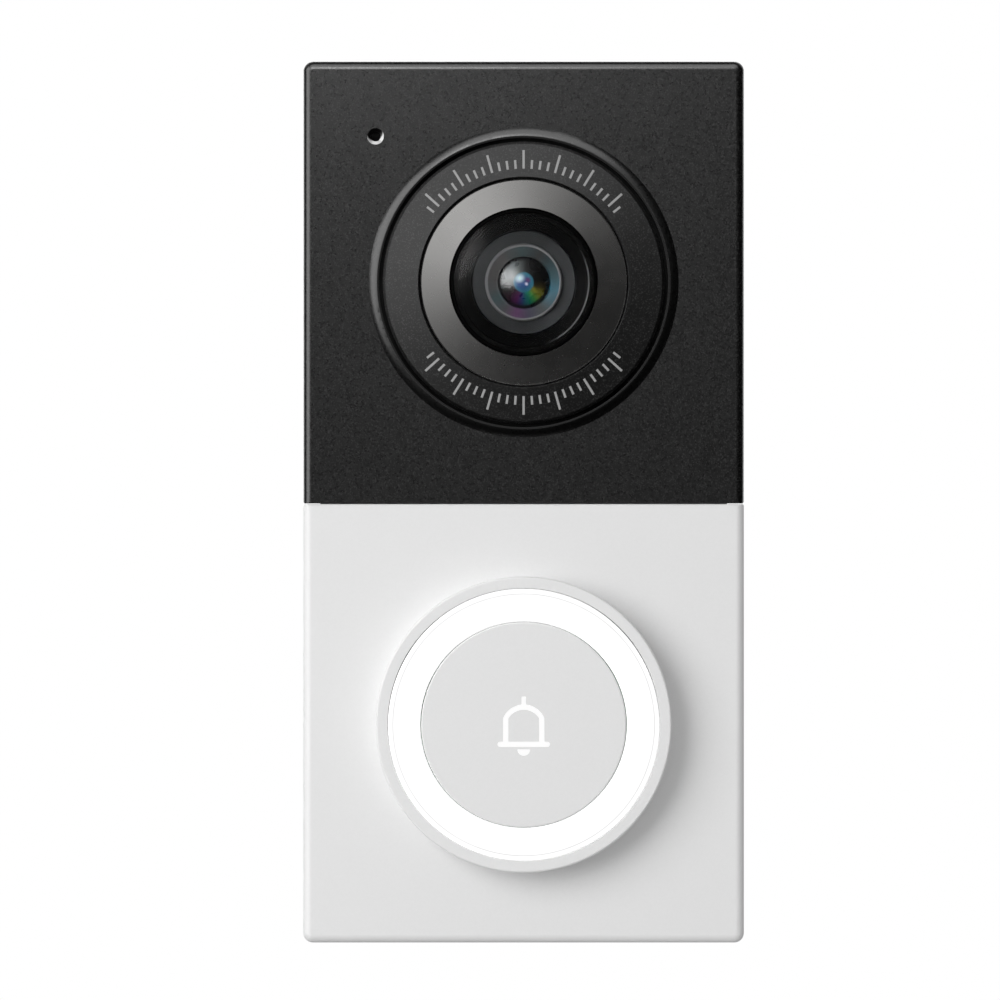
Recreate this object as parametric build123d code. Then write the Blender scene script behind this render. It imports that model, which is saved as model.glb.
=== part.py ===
from build123d import *
import os

# Wired video doorbell: a black camera half over a white button half, on a slide-on wall plate.
#
# Bench frame used for modelling, in millimetres: x to the right and y up as a visitor sees the
# doorbell, z out of the wall towards the visitor. The origin is the centre of the wall plate's
# back face. place() turns it into the part's own frame, +Z up with the front facing -Y.

# ---- driving dimensions -------------------------------------------------------------------
WIDTH = 50.0
HEIGHT = 100.0
FRONT = 22.0
PUCK_TOP = 26.0
LENS_Y = 24.9
BUTTON_Y = -25.2
SEAM_Y = -0.2
SEAM_GAP = 0.08

CORNER_R = 1.1
EDGE_R = 0.9
SIDE_WALL = 1.8
FRONT_WALL = 1.8
COVER_BACK = 0.6

INNER_GAP = 0.1
RIM_WALL = 1.2
HALF_W = WIDTH / 2
HALF_H = HEIGHT / 2
INSIDE_X = HALF_W - SIDE_WALL
INSIDE_Y = HALF_H - SIDE_WALL
SHELL_X = INSIDE_X - INNER_GAP
SHELL_Y = INSIDE_Y - INNER_GAP
RECESS_X = SHELL_X - RIM_WALL
RECESS_Y = SHELL_Y - RIM_WALL
FACE_BACK = FRONT - FRONT_WALL

FLOOR_BACK = 6.0
FLOOR_FRONT = 7.8
SEAL_FRONT = 8.4
PANEL_BACK = 19.0
BOARD_BACK = 10.0
BOARD_FRONT = 11.0

# lens group radii, from the raised rim inwards
RIM_FOOT_R = 17.6
RIM_CREST_R = 16.56
RIM_R = 16.42
RIM_TOP = 22.52
LEDGE_R = 15.2
LEDGE_FRONT = 21.0
BEZEL_R = 16.0
BEZEL_BORE = 11.85
BEZEL_TOP = 23.15
BEZEL_EDGE = 22.5
BEZEL_CHAMFER = 0.3
WINDOW_R = 11.7
WINDOW_BORE = 8.35
SHROUD_R = 8.25
DOME_R = 7.88
DOME_T = 0.5
BARREL_R = 5.9
RETAINER_R = 4.38
FRONT_LENS_R = 2.92

# button group radii, from the collar inwards
COLLAR_R = 16.75
COLLAR_BORE = 15.45
LIGHT_R = 15.35
LIGHT_BORE = 11.7
CAP_R = 11.6
CAP_T = 1.6
PLUNGER_R = 2.0
GUIDE_FRONT = 19.4
BUTTON_BOARD_FRONT = 16.0

# long screws that clamp the back cover, chassis and front covers together
CASE_SCREW_X = 19.9
CASE_SCREW_YS = (44.6, 5.0, -5.0, -44.6)
CASE_SCREWS = [(sx * CASE_SCREW_X, y) for sx in (-1, 1) for y in CASE_SCREW_YS]
CASE_BOSS_R = 2.3
CASE_BOSS_BACK = 13.0
CASE_SHANK_R = 0.9
CASE_HEAD_R = 1.9
BOARD_SHANK_R = 0.78
BOARD_POSTS = [(sx * 18.6, sy * 13.5) for sx in (-1, 1) for sy in (-1, 1)]

# wall plate
WALL_SCREW_Y = 33.0
WALL_SCREW_R = 2.2
WALL_SCREW_HEAD_R = 3.9
PLATE_X = 19.4
PLATE_TOP_Y = RECESS_Y - 0.1
PLATE_T = 2.0
HOOK_YS = (-34.0, 0.0, 34.0)
HOOK_LENGTH = 12.0
HOOK_T = 1.4
HOOK_ROOT_X = 16.5
WIRE_OPENING = (-12.0, 12.0, -8.0, 12.0)
WING_X = 21.5
FLANGE_TOP = 7.4
CLIP_SCREW_Z = 4.15

MIC_AT = (-16.8, 41.5)
MIC_HOLE_R = 0.58
MIC_DIMPLE_R = 0.95

# speaker, microSD card and flap, along the bottom edge
SPEAKER_X = (-4.0, 17.0)
SPEAKER_Z = (8.8, 18.8)
CARD_X = (-16.3, -5.3)
CARD_Z = (11.9, 12.7)
FLAP_X = (-17.4, -4.2)
FLAP_Z = (9.8, 14.8)
FLAP_T = 0.8
FLAP_PIN_R = 0.3
FLAP_AXIS_Y = -HALF_H + FLAP_T / 2
FLAP_AXIS_Z = FLAP_Z[0] + FLAP_T / 2

TERMINAL_XS = (-4.4, 4.4)
TERMINAL_HALF_W = 9.0
TERMINAL_BASE_Y = 0.0
TERMINAL_TOP_Y = 10.0
TERMINAL_Y = (TERMINAL_BASE_Y + TERMINAL_TOP_Y) / 2
TERMINAL_BORE_R = 1.56
RESET_AT = (14.4, -12.0)


# ---- helpers ------------------------------------------------------------------------------
def place(shape):
    """Bench frame to the part's own frame: the front faces -Y and up is +Z."""
    return Rot(90, 0, 0) * shape


def save(name, *shapes):
    solids = [solid for shape in shapes for solid in shape.solids()]
    whole = solids[0] if len(solids) == 1 else Compound(children=solids)
    export_step(place(whole), f"parts/{name}.step")


def block(x0, x1, y0, y1, z0, z1):
    middle = Pos((x0 + x1) / 2, (y0 + y1) / 2, (z0 + z1) / 2)
    return middle * Box(x1 - x0, y1 - y0, z1 - z0)


def soft_block(x0, x1, y0, y1, z0, z1, radius):
    """A block with its four long edges along z rounded."""
    body = block(x0, x1, y0, y1, z0, z1)
    return fillet(body.edges().filter_by(Axis.Z), radius)


def disc(radius, z0, z1, at=(0, 0)):
    return Pos(at[0], at[1], (z0 + z1) / 2) * Cylinder(radius, z1 - z0)


def ring(outer, inner, z0, z1, at=(0, 0)):
    return disc(outer, z0, z1, at) - disc(inner, z0 - 1, z1 + 1, at)


def turned(points, at=(0, 0)):
    """A closed outline of (radius, z) points turned about an axis along z."""
    outline = make_face(Polyline([(r, 0, z) for r, z in points], close=True))
    return Pos(at[0], at[1], 0) * revolve(outline, Axis.Z)


def round_axis(shape, axis_y, radius, count):
    """Copies of a shape spaced evenly round an axis along z at (0, axis_y)."""
    first = Pos(radius, 0, 0) * shape
    turns = [360 / count * (n + 0.5) for n in range(count)]
    return [Pos(0, axis_y, 0) * Rot(0, 0, turn) * first for turn in turns]


def rod_y(radius, x, z, y0, y1):
    """A round bar along y."""
    return Pos(x, (y0 + y1) / 2, z) * Rot(90, 0, 0) * Cylinder(radius, y1 - y0)


def rod_x(radius, y, z, x0, x1):
    """A round bar along x."""
    return Pos((x0 + x1) / 2, y, z) * Rot(0, 90, 0) * Cylinder(radius, x1 - x0)


def cross_recess(at, z, size, depth, way):
    """The cross-shaped driver recess of a screw head, cut from z along way (1 or -1)."""
    z0, z1 = sorted((z - way, z + way * depth))
    x, y = at
    arm = size / 5
    tall = block(x - arm / 2, x + arm / 2, y - size / 2, y + size / 2, z0, z1)
    wide = block(x - size / 2, x + size / 2, y - arm / 2, y + arm / 2, z0, z1)
    return tall + wide


def rear_screw(at, head_r, head_z, seat_z, shank_r, tip_z):
    """A pan-head screw put in from the wall side: head from head_z to seat_z, shank to tip_z."""
    head = disc(head_r, head_z, seat_z, at)
    head = fillet(head.edges().group_by(Axis.Z)[0], 0.3)
    shank = disc(shank_r, seat_z, tip_z, at)
    return head + shank - cross_recess(at, head_z, head_r * 1.3, (seat_z - head_z) * 0.6, 1)


# ---- wall plate and its security screw ----------------------------------------------------
def wall_plate():
    flange_back = -HALF_H
    flange_front = -INSIDE_Y - 0.1
    body = soft_block(-PLATE_X, PLATE_X, flange_front, PLATE_TOP_Y, 0, PLATE_T, 1.0)
    body += block(-PLATE_X, PLATE_X, flange_front, flange_front + 3, 0, PLATE_T)
    for side in (-1, 1):
        for y in HOOK_YS:
            x0, x1 = sorted((side * HOOK_ROOT_X, side * WING_X))
            y0, y1 = y - HOOK_LENGTH / 2, y + HOOK_LENGTH / 2
            body += block(x0, x1, y0, y1, PLATE_T, PLATE_T + HOOK_T)
            x0, x1 = sorted((side * HOOK_ROOT_X, side * PLATE_X))
            body += block(x0, x1, y0, y1, PLATE_T / 2, PLATE_T + HOOK_T)
    for sy in (-1, 1):
        at = (0, sy * WALL_SCREW_Y)
        body -= disc(WALL_SCREW_R, -1, 4, at)
        above = PLATE_T + 0.01
        body -= turned([(0, 0.6), (WALL_SCREW_R, 0.6), (WALL_SCREW_HEAD_R, above), (0, above)], at)
    body -= soft_block(*WIRE_OPENING, -1, 4, 1.5)
    rib_x, rib_back, rib_front = 9.0, PLATE_T - 0.5, PLATE_T + 0.8
    for side in (-1, 1):
        x0, x1 = side * rib_x - 0.6, side * rib_x + 0.6
        body += block(x0, x1, 14, 26, rib_back, rib_front)
        body += block(x0, x1, -26, -10, rib_back, rib_front)
    flange = block(-WING_X, WING_X, flange_back, flange_front, 0, FLANGE_TOP)
    flange += block(-WING_X, WING_X, flange_front, flange_front + 0.5, 0, FLOOR_BACK - 0.2)
    body += flange
    body -= rod_y(1.4, 0, CLIP_SCREW_Z, -HALF_H - 1, -40)
    body -= rod_y(2.3, 0, CLIP_SCREW_Z, -HALF_H - 1, -HALF_H + 1.4)
    save("wall_plate", body)


def security_screw():
    head_y0, head_y1 = -HALF_H + 0.15, -HALF_H + 1.1
    washer_y1 = -HALF_H + 1.38
    head = rod_y(2.1, 0, CLIP_SCREW_Z, head_y0, head_y1)
    shank = rod_y(1.25, 0, CLIP_SCREW_Z, head_y1 - 0.1, -43.0)
    body = head + shank
    for turn in (0, 60, 120):
        slot = Rot(0, turn, 0) * Box(2.0, 1.2, 0.6)
        body -= Pos(0, head_y0, CLIP_SCREW_Z) * slot
    save("security_screw", body)
    washer = rod_y(2.15, 0, CLIP_SCREW_Z, head_y1 + 0.02, washer_y1)
    washer -= rod_y(1.31, 0, CLIP_SCREW_Z, head_y1 - 1, washer_y1 + 1)
    save("security_screw_washer", washer)


# ---- covers -------------------------------------------------------------------------------
def cover_shell():
    """Both front covers as one shell, before it is parted at the seam."""
    outer = block(-HALF_W, HALF_W, -HALF_H, HALF_H, COVER_BACK, FRONT)
    outer = fillet(outer.edges().filter_by(Axis.Z), CORNER_R)
    outer = fillet(outer.edges().group_by(Axis.Z)[-1], EDGE_R)
    shell = outer - block(-INSIDE_X, INSIDE_X, -INSIDE_Y, INSIDE_Y, -1, FACE_BACK)
    for at in CASE_SCREWS:
        shell += disc(CASE_BOSS_R, CASE_BOSS_BACK, FACE_BACK + 0.5, at)
        shell -= disc(CASE_SHANK_R + 0.05, CASE_BOSS_BACK - 1, 18.9, at)
    return shell


def seam_break(y):
    """A bar along the seam and down both sides that takes the sharp edge off."""
    size = 0.22
    bar = Pos(0, y, FRONT) * Rot(45, 0, 0) * Box(WIDTH + 2, size, size)
    for x in (-HALF_W, HALF_W):
        bar += Pos(x, y, FRONT / 2) * Rot(0, 0, 45) * Box(size, size, FRONT + 2)
    return bar


def lens_rim():
    """The rounded bead that rises from the face round the lens bezel."""
    inner, sunk = RIM_R - 0.02, FRONT - 0.5
    foot, crest = (RIM_FOOT_R, FRONT - 0.01), (RIM_CREST_R, RIM_TOP)
    swell = ThreePointArc(foot, (RIM_CREST_R + 0.5, FRONT + 0.37), crest)
    inside = Polyline(crest, (inner, RIM_TOP - 0.08), (inner, sunk), (RIM_FOOT_R, sunk), foot)
    outline = Plane.XZ * make_face(swell + inside)
    return Pos(0, LENS_Y, 0) * revolve(outline, Axis.Z)


def upper_cover(shell):
    y0 = SEAM_Y + SEAM_GAP / 2
    body = shell & block(-HALF_W - 1, HALF_W + 1, y0, HALF_H + 1, -1, FRONT + 1)
    body -= seam_break(y0)
    axis = (0, LENS_Y)
    body += lens_rim()
    body -= disc(LEDGE_R, FACE_BACK - 1, LEDGE_FRONT + 0.5, axis)
    body -= disc(RIM_R, LEDGE_FRONT, RIM_TOP + 1, axis)
    body -= disc(MIC_HOLE_R, FACE_BACK - 1, FRONT + 1, MIC_AT)
    deep, above = FRONT - 0.22, FRONT + 0.02
    body -= turned([(0, deep), (MIC_HOLE_R, deep), (MIC_DIMPLE_R, above), (0, above)], MIC_AT)
    save("upper_cover", body)


def speaker_slots(y0, y1):
    first, pitch, count, half = -0.9, 2.4, 7, 0.6
    middles = [first + pitch * n for n in range(count)]
    return Compound(children=[block(x - half, x + half, y0, y1, 10.6, 17.4) for x in middles])


def lower_cover(shell):
    y1 = SEAM_Y - SEAM_GAP / 2
    body = shell & block(-HALF_W - 1, HALF_W + 1, -HALF_H - 1, y1, -1, FRONT + 1)
    body -= seam_break(y1)
    axis = (0, BUTTON_Y)
    collar = disc(COLLAR_R, FACE_BACK, PUCK_TOP, axis)
    collar = fillet(collar.edges().group_by(Axis.Z)[-1], 0.25)
    body += collar
    body -= disc(COLLAR_BORE, FACE_BACK - 1, PUCK_TOP + 1, axis)
    below, gap = -HALF_H - 1, 0.2
    body -= block(-WING_X - gap, WING_X + gap, below, -INSIDE_Y + 1, -1, FLANGE_TOP + gap)
    (x0, x1), (z0, z1) = FLAP_X, FLAP_Z
    body -= block(x0 - gap, x1 + gap, below, -HALF_H + 1.0, z0 - gap, z1 + gap)
    body -= rod_x(FLAP_PIN_R + 0.04, FLAP_AXIS_Y, FLAP_AXIS_Z, x0 - 0.8, x1 + 0.8)
    nail_x, nail_half = (x0 + x1) / 2, 2.5
    body -= block(nail_x - nail_half, nail_x + nail_half, below, -HALF_H + 0.5, z1, z1 + 1.2)
    body -= block(CARD_X[0] - 0.6, CARD_X[1] + 0.6, -HALF_H, -INSIDE_Y + 1, 10.9, 13.7)
    body -= speaker_slots(-HALF_H - 1, -INSIDE_Y + 1)
    save("lower_cover", body)


def back_cover():
    body = block(-SHELL_X, SHELL_X, -SHELL_Y, SHELL_Y, COVER_BACK, FLOOR_FRONT)
    body -= block(-RECESS_X, RECESS_X, -SHELL_Y - 1, RECESS_Y, -1, FLOOR_BACK)
    for side in (-1, 1):
        for y in HOOK_YS:
            x0, x1 = sorted((side * (PLATE_X + 0.2), side * (RECESS_X + 0.2)))
            y0, y1 = y - HOOK_LENGTH / 2, y + HOOK_LENGTH / 2
            body += block(x0, x1, y0, y1, COVER_BACK, PLATE_T - 0.2)
    boss = block(-3.2, 3.2, -HALF_H + 2.4, -41.5, PLATE_T + 0.3, FLOOR_BACK + 0.2)
    body += boss
    body -= rod_y(1.3, 0, CLIP_SCREW_Z, -48.0, -42.5)
    for at in CASE_SCREWS:
        body += disc(2.4, FLOOR_FRONT - 0.5, SEAL_FRONT - 0.1, at)
        body -= disc(1.1, FLOOR_BACK - 1, SEAL_FRONT + 1, at)
        body -= disc(2.1, FLOOR_BACK - 1, FLOOR_BACK + 0.9, at)
    x, y0, y1 = TERMINAL_HALF_W + 0.15, TERMINAL_BASE_Y - 0.15, TERMINAL_TOP_Y + 0.15
    body -= block(-x, x, y0, y1, FLOOR_BACK - 1, FLOOR_FRONT + 1)
    body -= disc(1.6, FLOOR_BACK - 1, FLOOR_FRONT + 1, RESET_AT)
    save("back_cover", body)


def chassis():
    body = block(-SHELL_X, SHELL_X, -SHELL_Y, SHELL_Y, SEAL_FRONT, FACE_BACK)
    body -= block(-RECESS_X, RECESS_X, -RECESS_Y, RECESS_Y, SEAL_FRONT - 1, PANEL_BACK)
    lens, button = (0, LENS_Y), (0, BUTTON_Y)
    body += disc(12.6, PANEL_BACK - 0.8, PANEL_BACK + 0.2, lens)
    body -= disc(8.2, PANEL_BACK - 2, FACE_BACK + 1, lens)
    body -= disc(11.75, PANEL_BACK + 0.4, FACE_BACK + 1, lens)
    body += disc(16.9, 14.0, PANEL_BACK + 0.2, button)
    body -= disc(13.4, 13.0, FACE_BACK + 1, button)
    body -= disc(15.6, 15.0, FACE_BACK + 1, button)
    seat = CASE_BOSS_BACK - 0.2
    for at in CASE_SCREWS:
        body -= disc(CASE_BOSS_R + 0.2, seat, FACE_BACK + 1, at)
        body += disc(CASE_BOSS_R + 0.4, SEAL_FRONT, seat, at)
        body -= disc(CASE_SHANK_R + 0.3, SEAL_FRONT - 1, seat + 0.2, at)
    for at in BOARD_POSTS:
        body += disc(2.2, BOARD_FRONT, PANEL_BACK + 0.2, at)
        body -= disc(BOARD_SHANK_R + 0.04, BOARD_FRONT - 1, 17.0, at)
    body -= disc(1.5, PANEL_BACK - 1, FACE_BACK + 1, MIC_AT)
    body -= block(-2.2, 14.8, -SHELL_Y - 1, -RECESS_Y + 1, 10.3, 17.6)
    body -= block(CARD_X[0] - 0.6, CARD_X[1] + 0.6, -SHELL_Y - 1, -RECESS_Y + 1, 11.2, 13.7)
    save("chassis", body)


def case_seal():
    x, y = SHELL_X - 0.1, SHELL_Y - 0.1
    body = block(-x, x, -y, y, FLOOR_FRONT, SEAL_FRONT)
    body -= block(-RECESS_X, RECESS_X, -RECESS_Y, RECESS_Y, FLOOR_FRONT - 1, SEAL_FRONT + 1)
    for at in CASE_SCREWS:
        body -= disc(2.8, FLOOR_FRONT - 1, SEAL_FRONT + 1, at)
    save("case_seal", body)


def fasteners():
    head, seat, tip = FLOOR_BACK + 0.05, FLOOR_BACK + 0.9, 18.4
    case = [rear_screw(at, CASE_HEAD_R, head, seat, CASE_SHANK_R, tip) for at in CASE_SCREWS]
    save("case_screws", *case)
    head, seat, tip = BOARD_BACK - 0.9, BOARD_BACK, 15.5
    board = [rear_screw(at, 1.7, head, seat, BOARD_SHANK_R, tip) for at in BOARD_POSTS]
    save("main_board_screws", *board)


# ---- camera -------------------------------------------------------------------------------
def lens_bezel():
    """Bezel whose face falls away like a shallow cone from its bore to its outer edge."""
    edge, bore_edge = BEZEL_CHAMFER, 0.14
    save("lens_bezel", turned([
        (BEZEL_BORE, LEDGE_FRONT), (BEZEL_R, LEDGE_FRONT), (BEZEL_R, BEZEL_EDGE - edge),
        (BEZEL_R - edge, BEZEL_EDGE), (BEZEL_BORE + bore_edge, BEZEL_TOP),
        (BEZEL_BORE, BEZEL_TOP - bore_edge),
    ], (0, LENS_Y)))


def infrared_window():
    """Smoked ring window over the infrared lamps: a cone with a skirt at each edge."""
    save("infrared_window", turned([
        (WINDOW_R, FACE_BACK), (WINDOW_R, 23.05), (WINDOW_R - 0.12, 23.2), (WINDOW_BORE + 0.1, 24.0),
        (WINDOW_BORE, 23.92), (WINDOW_BORE, 21.9), (WINDOW_BORE + 0.6, 21.9), (WINDOW_BORE + 0.6, 22.9),
        (WINDOW_R - 0.5, 22.2), (WINDOW_R - 0.5, FACE_BACK),
    ], (0, LENS_Y)))


def lens_shroud():
    save("lens_shroud", turned([
        (BARREL_R + 0.05, 21.5), (SHROUD_R, 21.5), (SHROUD_R, 24.05), (SHROUD_R - 0.23, 24.12),
        (DOME_R + 0.04, 24.05), (DOME_R + 0.04, 23.7), (7.45, 23.7), (7.3, 23.45),
        (BARREL_R + 0.05, 22.75),
    ], (0, LENS_Y)))


def lens_dome():
    """Clear weather cap over the lens, a shallow bowl of even thickness."""
    outer = domed_disc(DOME_R, 23.72, 24.07, 24.95)
    hollow = domed_disc(DOME_R - DOME_T, 23.5, 23.72, 24.95 - DOME_T)
    save("lens_dome", outer - hollow)


def lens_barrel():
    save("lens_barrel", turned([
        (3.6, 16.2), (BARREL_R, 16.2), (BARREL_R, 22.3), (BARREL_R - 0.1, 22.4),
        (RETAINER_R + 0.02, 22.4), (RETAINER_R + 0.02, 21.6), (3.6, 21.6),
    ], (0, LENS_Y)))


def lens_retaining_ring():
    save("lens_retaining_ring", turned([
        (FRONT_LENS_R + 0.03, 21.6), (RETAINER_R, 21.6), (RETAINER_R, 22.75), (RETAINER_R - 0.12, 22.9),
        (RETAINER_R - 0.3, 22.9), (FRONT_LENS_R + 0.2, 22.62), (FRONT_LENS_R + 0.03, 22.62),
    ], (0, LENS_Y)))


def domed_disc(radius, z0, rim_z, crown):
    """A round piece on the lens axis with a flat back and a domed front."""
    axis = (0, LENS_Y)
    rise = crown - rim_z
    ball_r = (radius**2 + rise**2) / (2 * rise)
    ball = Pos(0, LENS_Y, crown - ball_r) * Sphere(ball_r)
    return disc(radius, z0, rim_z, axis) + (ball & disc(radius, rim_z - 0.1, crown + 1, axis))


def lens_glass():
    save("front_lens", domed_disc(FRONT_LENS_R, 20.9, 22.3, 23.3))
    inner = [domed_disc(3.55, 16.6, 17.2, 17.7), domed_disc(3.55, 18.2, 18.9, 19.3)]
    save("inner_lenses", *inner)


def lens_holder():
    lens = (0, LENS_Y)
    y0, y1 = LENS_Y - 6.2, LENS_Y + 6.2
    body = block(-10.4, 10.4, y0, y1, 13.0, 15.8) + disc(7.9, 15.0, 21.5, lens)
    body -= disc(BARREL_R + 0.03, 16.2, 22, lens)
    body -= disc(3.2, 14.0, 17.0, lens)
    body -= block(-5.4, 5.4, LENS_Y - 4.8, LENS_Y + 4.8, 12, 14.2)
    body -= block(-9.4, 9.4, LENS_Y - 3.75, LENS_Y + 3.75, 14.1, 15.1)
    save("lens_holder", body)


def ir_filter():
    """The day and night filter carriage: the infrared-cut glass is on the axis at rest."""
    z0, z1 = 14.25, 14.95
    body = soft_block(-8.9, 3.3, LENS_Y - 3.6, LENS_Y + 3.6, z0, z1, 0.6)
    glass = block(-2.6, 2.6, LENS_Y - 2.6, LENS_Y + 2.6, z0 + 0.1, z1 - 0.1)
    body -= glass
    body -= block(-2.2, 2.2, LENS_Y - 2.2, LENS_Y + 2.2, z0 - 1, z1 + 1)
    body -= block(-7.9, -3.5, LENS_Y - 2.2, LENS_Y + 2.2, z0 - 1, z1 + 1)
    save("ir_filter_carrier", body)
    save("ir_filter_glass", glass)


def image_sensor():
    package = block(-4.8, 4.8, LENS_Y - 4.2, LENS_Y + 4.2, 13.0, 13.9)
    die = block(-3.2, 3.2, LENS_Y - 1.9, LENS_Y + 1.9, 13.9, 14.0)
    save("image_sensor", package + die)


def camera_board():
    body = soft_block(-11.5, 11.5, LENS_Y - 11, LENS_Y + 11, 12.2, 13.0, 1.0)
    for x, y in ((-9.8, 9.3), (9.8, 9.3), (-9.8, -9.3), (9.8, -9.3)):
        body -= disc(0.9, 12, 14, (x, LENS_Y + y))
    plug = block(-6, 6, LENS_Y + 6.0, LENS_Y + 9.0, BOARD_FRONT, 12.2)
    save("camera_board", body, plug)


def infrared_lamps():
    lens = (0, LENS_Y)
    save("infrared_board", ring(11.1, 8.65, PANEL_BACK + 0.4, FACE_BACK, lens))
    lamp = block(-0.8, 0.8, -0.8, 0.8, FACE_BACK, 21.0) + disc(0.6, 20.9, 21.5)
    save("infrared_leds", *round_axis(lamp, LENS_Y, 9.9, 8))


# ---- button -------------------------------------------------------------------------------
def bell_symbol(z0, z1):
    """Plain outline of a hand bell, centred on the button."""
    half, line, shoulder, crown, brim, knob_top = 2.33, 0.58, 0.75, 2.3, -2.2, 3.2

    def bell(half, crown):
        dome = ThreePointArc((-half, shoulder), (0, crown), (half, shoulder))
        skirt = Polyline((half, shoulder), (half, brim), (-half, brim), (-half, shoulder))
        return make_face(dome + skirt)

    rim = Pos(0, brim) * SlotOverall(5.9, line)
    knob_foot = crown - line / 2
    knob = Pos(0, (knob_foot + knob_top) / 2) * Rectangle(0.46, knob_top - knob_foot)
    clapper_r = 0.7
    lower_half = Pos(0, -clapper_r / 2) * Rectangle(3, clapper_r)
    clapper = Pos(0, brim - line) * (Circle(clapper_r) & lower_half)
    outline = bell(half, crown) - bell(half - line, crown - line) + rim + knob
    depth = z1 - z0
    return [Pos(0, BUTTON_Y, z0) * extrude(shape, depth) for shape in (outline, clapper)]


def button_cap():
    button = (0, BUTTON_Y)
    inlay_depth = 0.7
    body = disc(CAP_R, PUCK_TOP - CAP_T, PUCK_TOP, button)
    body = fillet(body.edges().group_by(Axis.Z)[-1], 0.15)
    body += ring(11.3, 10.5, 20.6, PUCK_TOP - 1.5, button)
    body += disc(PLUNGER_R, 18.9, PUCK_TOP - 1.5, button)
    body += ring(3.1, 1.9, PUCK_TOP - 2.2, PUCK_TOP - 1.5, button)
    symbol = bell_symbol(PUCK_TOP - inlay_depth, PUCK_TOP)
    for piece in symbol:
        body -= piece
    save("button_cap", body)
    save("bell_insert", *symbol)


def light_ring():
    edge = 0.12
    save("light_ring", turned([
        (LIGHT_BORE, 23.6), (LIGHT_BORE, PUCK_TOP - edge), (LIGHT_BORE + edge, PUCK_TOP),
        (LIGHT_R - edge, PUCK_TOP), (LIGHT_R, PUCK_TOP - edge), (LIGHT_R, 17.6),
        (15.2, BUTTON_BOARD_FRONT), (14.6, BUTTON_BOARD_FRONT), (14.6, 17.6), (12.3, 17.6),
        (12.3, 23.6),
    ], (0, BUTTON_Y)))


def button_guide():
    button = (0, BUTTON_Y)
    guide_r = 11.6
    body = disc(guide_r, 18.2, GUIDE_FRONT, button) + disc(3.15, 18.2, 22.4, button)
    body += ring(guide_r, guide_r - 0.8, BUTTON_BOARD_FRONT, 18.3, button)
    body -= disc(PLUNGER_R + 0.08, 17, 23, button)
    save("button_guide", body)


def button_return_spring():
    wire_r, coil_r, turns = 0.2, 3.75, 4
    z0, z1 = GUIDE_FRONT + wire_r, PUCK_TOP - CAP_T - wire_r
    height = z1 - z0
    path = Helix(height / turns, height, coil_r)
    start = Plane(path @ 0, z_dir=path % 0)
    coil = sweep(start * Circle(wire_r), path, is_frenet=True)
    save("button_return_spring", Pos(0, BUTTON_Y, z0) * coil)


def button_seal():
    """Rolled silicone diaphragm between the guide and the cap."""
    save("button_seal", turned([
        (7.2, GUIDE_FRONT), (10.0, GUIDE_FRONT), (10.0, 19.9), (8.6, 19.9), (8.1, 22.0), (7.3, 24.4),
        (5.2, 24.4), (5.2, 23.9), (6.9, 23.9), (7.6, 21.8), (7.9, 19.9), (7.2, 19.9),
    ], (0, BUTTON_Y)))


def button_board():
    button = (0, BUTTON_Y)
    front = BUTTON_BOARD_FRONT
    save("button_board", disc(15.3, front - 1.0, front, button))
    lamp = block(-0.8, 0.8, -1.0, 1.0, front, front + 1.1)
    save("ring_leds", *round_axis(lamp, BUTTON_Y, 13.45, 12))
    switch = block(-3, 3, BUTTON_Y - 3, BUTTON_Y + 3, front, front + 2.0)
    save("button_switch", switch - disc(1.6, front + 0.5, front + 3, button))
    save("switch_stem", disc(1.53, 17.2, 18.9, button))


def button_flex():
    """Flat cable that turns back on itself between the button board and the main board."""
    upper_z, lower_z, thick, half = 14.75, 12.15, 0.2, 4.0
    y0, y1 = BUTTON_Y - 6, BUTTON_Y + 4
    middle_z, bend = (upper_z + lower_z) / 2, (upper_z - lower_z) / 2
    cable = block(-half, half, y0, y1, upper_z - thick / 2, upper_z + thick / 2)
    cable += block(-half, half, y0, y1, lower_z - thick / 2, lower_z + thick / 2)
    turn = Pos(0, y1, middle_z) * Rot(0, 90, 0)
    loop = turn * (Cylinder(bend + thick / 2, 2 * half) - Cylinder(bend - thick / 2, 2 * half + 1))
    cable += loop & block(-half - 1, half + 1, y1, y1 + 5, 10, 18)
    save("button_flex", cable)


# ---- main board and what it carries -------------------------------------------------------
def main_board():
    body = soft_block(-21.2, 21.2, -41.0, 46.2, BOARD_BACK, BOARD_FRONT, 1.0)
    for at in CASE_SCREWS:
        body -= disc(3.1, 9, 12, at)
    for at in BOARD_POSTS:
        body -= disc(0.9, 9, 12, at)
    save("main_board", body)


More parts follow.
